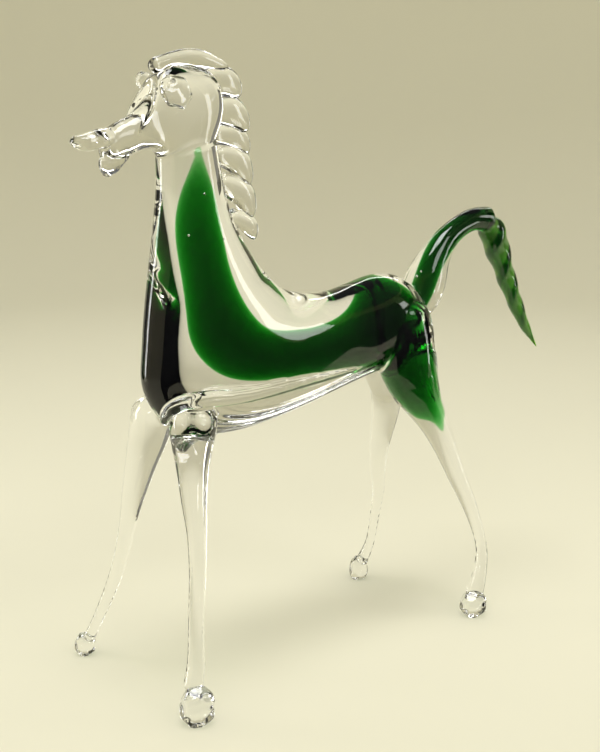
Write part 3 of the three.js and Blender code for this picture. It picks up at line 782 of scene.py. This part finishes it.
# ---- Studio ----
FLAT, BEND, WALL = 500, 320, 500  # the floor's radius, its bend up into the wall, and the wall's height
BEND_STEPS, SWEEP_SIDES = 24, 96
FLOOR_DROP = 0.05  # keeps the soles clear of the paper


def cyclorama():
    """A round floor that bends up into a wall on every side."""
    angle = np.linspace(0, math.pi / 2, BEND_STEPS)
    profile = [(0.0, 0.0), (FLAT / 2, 0.0)]
    profile += list(zip(FLAT + BEND * np.sin(angle), BEND * (1 - np.cos(angle))))
    profile += [(FLAT + BEND, BEND + WALL)]
    sides = SWEEP_SIDES
    turn = np.linspace(0, 2 * math.pi, sides, endpoint=False)
    points = [(0, 0, -FLOOR_DROP)]
    faces = []
    for r, z in profile[1:]:
        points += [(r * math.cos(a), r * math.sin(a), z - FLOOR_DROP) for a in turn]
    for k in range(sides):
        faces.append((0, 1 + k, 1 + (k + 1) % sides))
    for i in range(len(profile) - 2):
        base = 1 + i * sides
        for k in range(sides):
            n = (k + 1) % sides
            faces.append((base + k, base + sides + k, base + sides + n, base + n))
    return np.array(points, float), faces


sweep = mesh_object("sweep", cyclorama())
paper = bpy.data.materials.new("paper")
paper.use_nodes = True
paper_shader = paper.node_tree.nodes["Principled BSDF"]
paper_shader.inputs["Base Color"].default_value = (0.80, 0.77, 0.60, 1)
paper_shader.inputs["Roughness"].default_value = 0.9
paper_shader.inputs["Specular IOR Level"].default_value = 0.2
sweep.data.materials.append(paper)


def around(azimuth, radius, height):
    """A point round the horse. Azimuth 0 is in front of it and 90 on its left."""
    a = math.radians(azimuth)
    return (radius * math.sin(a), -radius * math.cos(a), height)


def softbox(name, place, aim, size, power):
    light = bpy.data.lights.new(name, "AREA")
    light.shape = "RECTANGLE"
    light.size, light.size_y = size[0] * MM, size[1] * MM
    light.energy = power
    lamp = linked(name, light)
    lamp.location = Vector(place) * MM
    way = (Vector(aim) - Vector(place)).normalized()
    lamp.rotation_euler = way.to_track_quat("-Z", "Y").to_euler()
    lamp.visible_camera = False


FEET, MIDDLE = (0, 0, 0), (0, 0, 80)
# Each light's place, what it points at, its size, and its power in watts
LIGHTS = {
    "top": ((60, -60, 760), FEET, (300, 300), 3.1),
    "key": (around(100, 560, 560), MIDDLE, (260, 260), 1.1),
    "window_left": (around(-48, 420, 150), MIDDLE, (60, 300), 0.45),
    "window_right": (around(140, 420, 150), MIDDLE, (60, 300), 0.3),
    "lamp": (around(35, 430, 330), MIDDLE, (70, 70), 0.12),
    "strip": (around(231, 450, 430), MIDDLE, (520, 34), 0.5),
}
for name, settings in LIGHTS.items():
    softbox(name, *settings)


def flag(name, azimuth, radius, width, low, high, shade):
    """A dark card beside the horse that draws the edges of clear glass. Only glass and gloss see it."""
    middle = np.array(around(azimuth, radius, low))
    side = np.array(around(azimuth + 90, width / 2, 0))
    rise = Z * (high - low)
    corners = [middle - side, middle + side, middle + side + rise, middle - side + rise]
    card = mesh_object(name, (np.array(corners), [(0, 1, 2, 3)]))
    card.data.materials.append(shade)
    card.visible_camera = card.visible_diffuse = card.visible_shadow = False


COOLER = 1.1  # how much bluer than grey a card is


def card_shade(name, value):
    shade = bpy.data.materials.new(name)
    shade.use_nodes = True
    colour = (value, value, value * COOLER, 1)
    shade.node_tree.nodes["Principled BSDF"].inputs["Base Color"].default_value = colour
    return shade


black = card_shade("black_card", 0.01)
grey = card_shade("grey_card", 0.13)
flag("flag_low", azimuth=-67, radius=300, width=110, low=11, high=32, shade=black)
flag("flag_left", azimuth=-67, radius=300, width=90, low=32, high=320, shade=grey)
flag("flag_right", azimuth=157, radius=300, width=110, low=0, high=320, shade=black)

SCREEN_LIFT, SCREEN_COLUMNS = 0.3, 40


def screen(azimuths, near_edge, radius, height, shade):
    """A dark cloth on the floor and up behind the camera, which keeps the core's own green deep.

    Only mirrored light sees it.
    """
    rows = [[around(a, r, z) for r, z in ((near_edge, SCREEN_LIFT), (radius, SCREEN_LIFT), (radius, height))]
            for a in np.linspace(*azimuths, SCREEN_COLUMNS)]
    points = np.array([corner for row in rows for corner in row])
    faces = [(k, k + 1, k + 4, k + 3) for i in range(len(rows) - 1) for k in (3 * i, 3 * i + 1)]
    cloth = mesh_object("screen", (points, faces))
    cloth.data.materials.append(shade)
    cloth.visible_camera = cloth.visible_diffuse = False
    cloth.visible_shadow = cloth.visible_transmission = False


screen(azimuths=(14, 135), near_edge=85, radius=445, height=380, shade=card_shade("olive_card", 0.03))

world = bpy.data.worlds.new("room")
world.use_nodes = True
world.node_tree.nodes["Background"].inputs["Color"].default_value = (0.5, 0.5, 0.52, 1)
world.node_tree.nodes["Background"].inputs["Strength"].default_value = 0.25
bpy.context.scene.world = world
bpy.context.scene.view_settings.view_transform = "Standard"

# ---- Camera ----
CAMERA_FROM_SOLES = (300, -240.4, 168.5)
CAMERA_AZIMUTH, CAMERA_PITCH = 50.73, 13.75
LENS, SENSOR, NEAREST = 71.6, 36, 10
camera = linked("camera", bpy.data.cameras.new("camera"))
camera.data.lens = LENS
camera.data.sensor_width = SENSOR
camera.data.clip_start = NEAREST * MM
soles_middle = sum(soles.values()) / len(soles)
camera.location = Vector((soles_middle + CAMERA_FROM_SOLES) * MM)
camera.rotation_euler = (math.radians(90 - CAMERA_PITCH), 0, math.radians(CAMERA_AZIMUTH))
bpy.context.scene.camera = camera

cycles = bpy.context.scene.cycles
cycles.max_bounces = 32
cycles.transmission_bounces = 28
cycles.transparent_max_bounces = 16
cycles.caustics_refractive = False
cycles.caustics_reflective = False
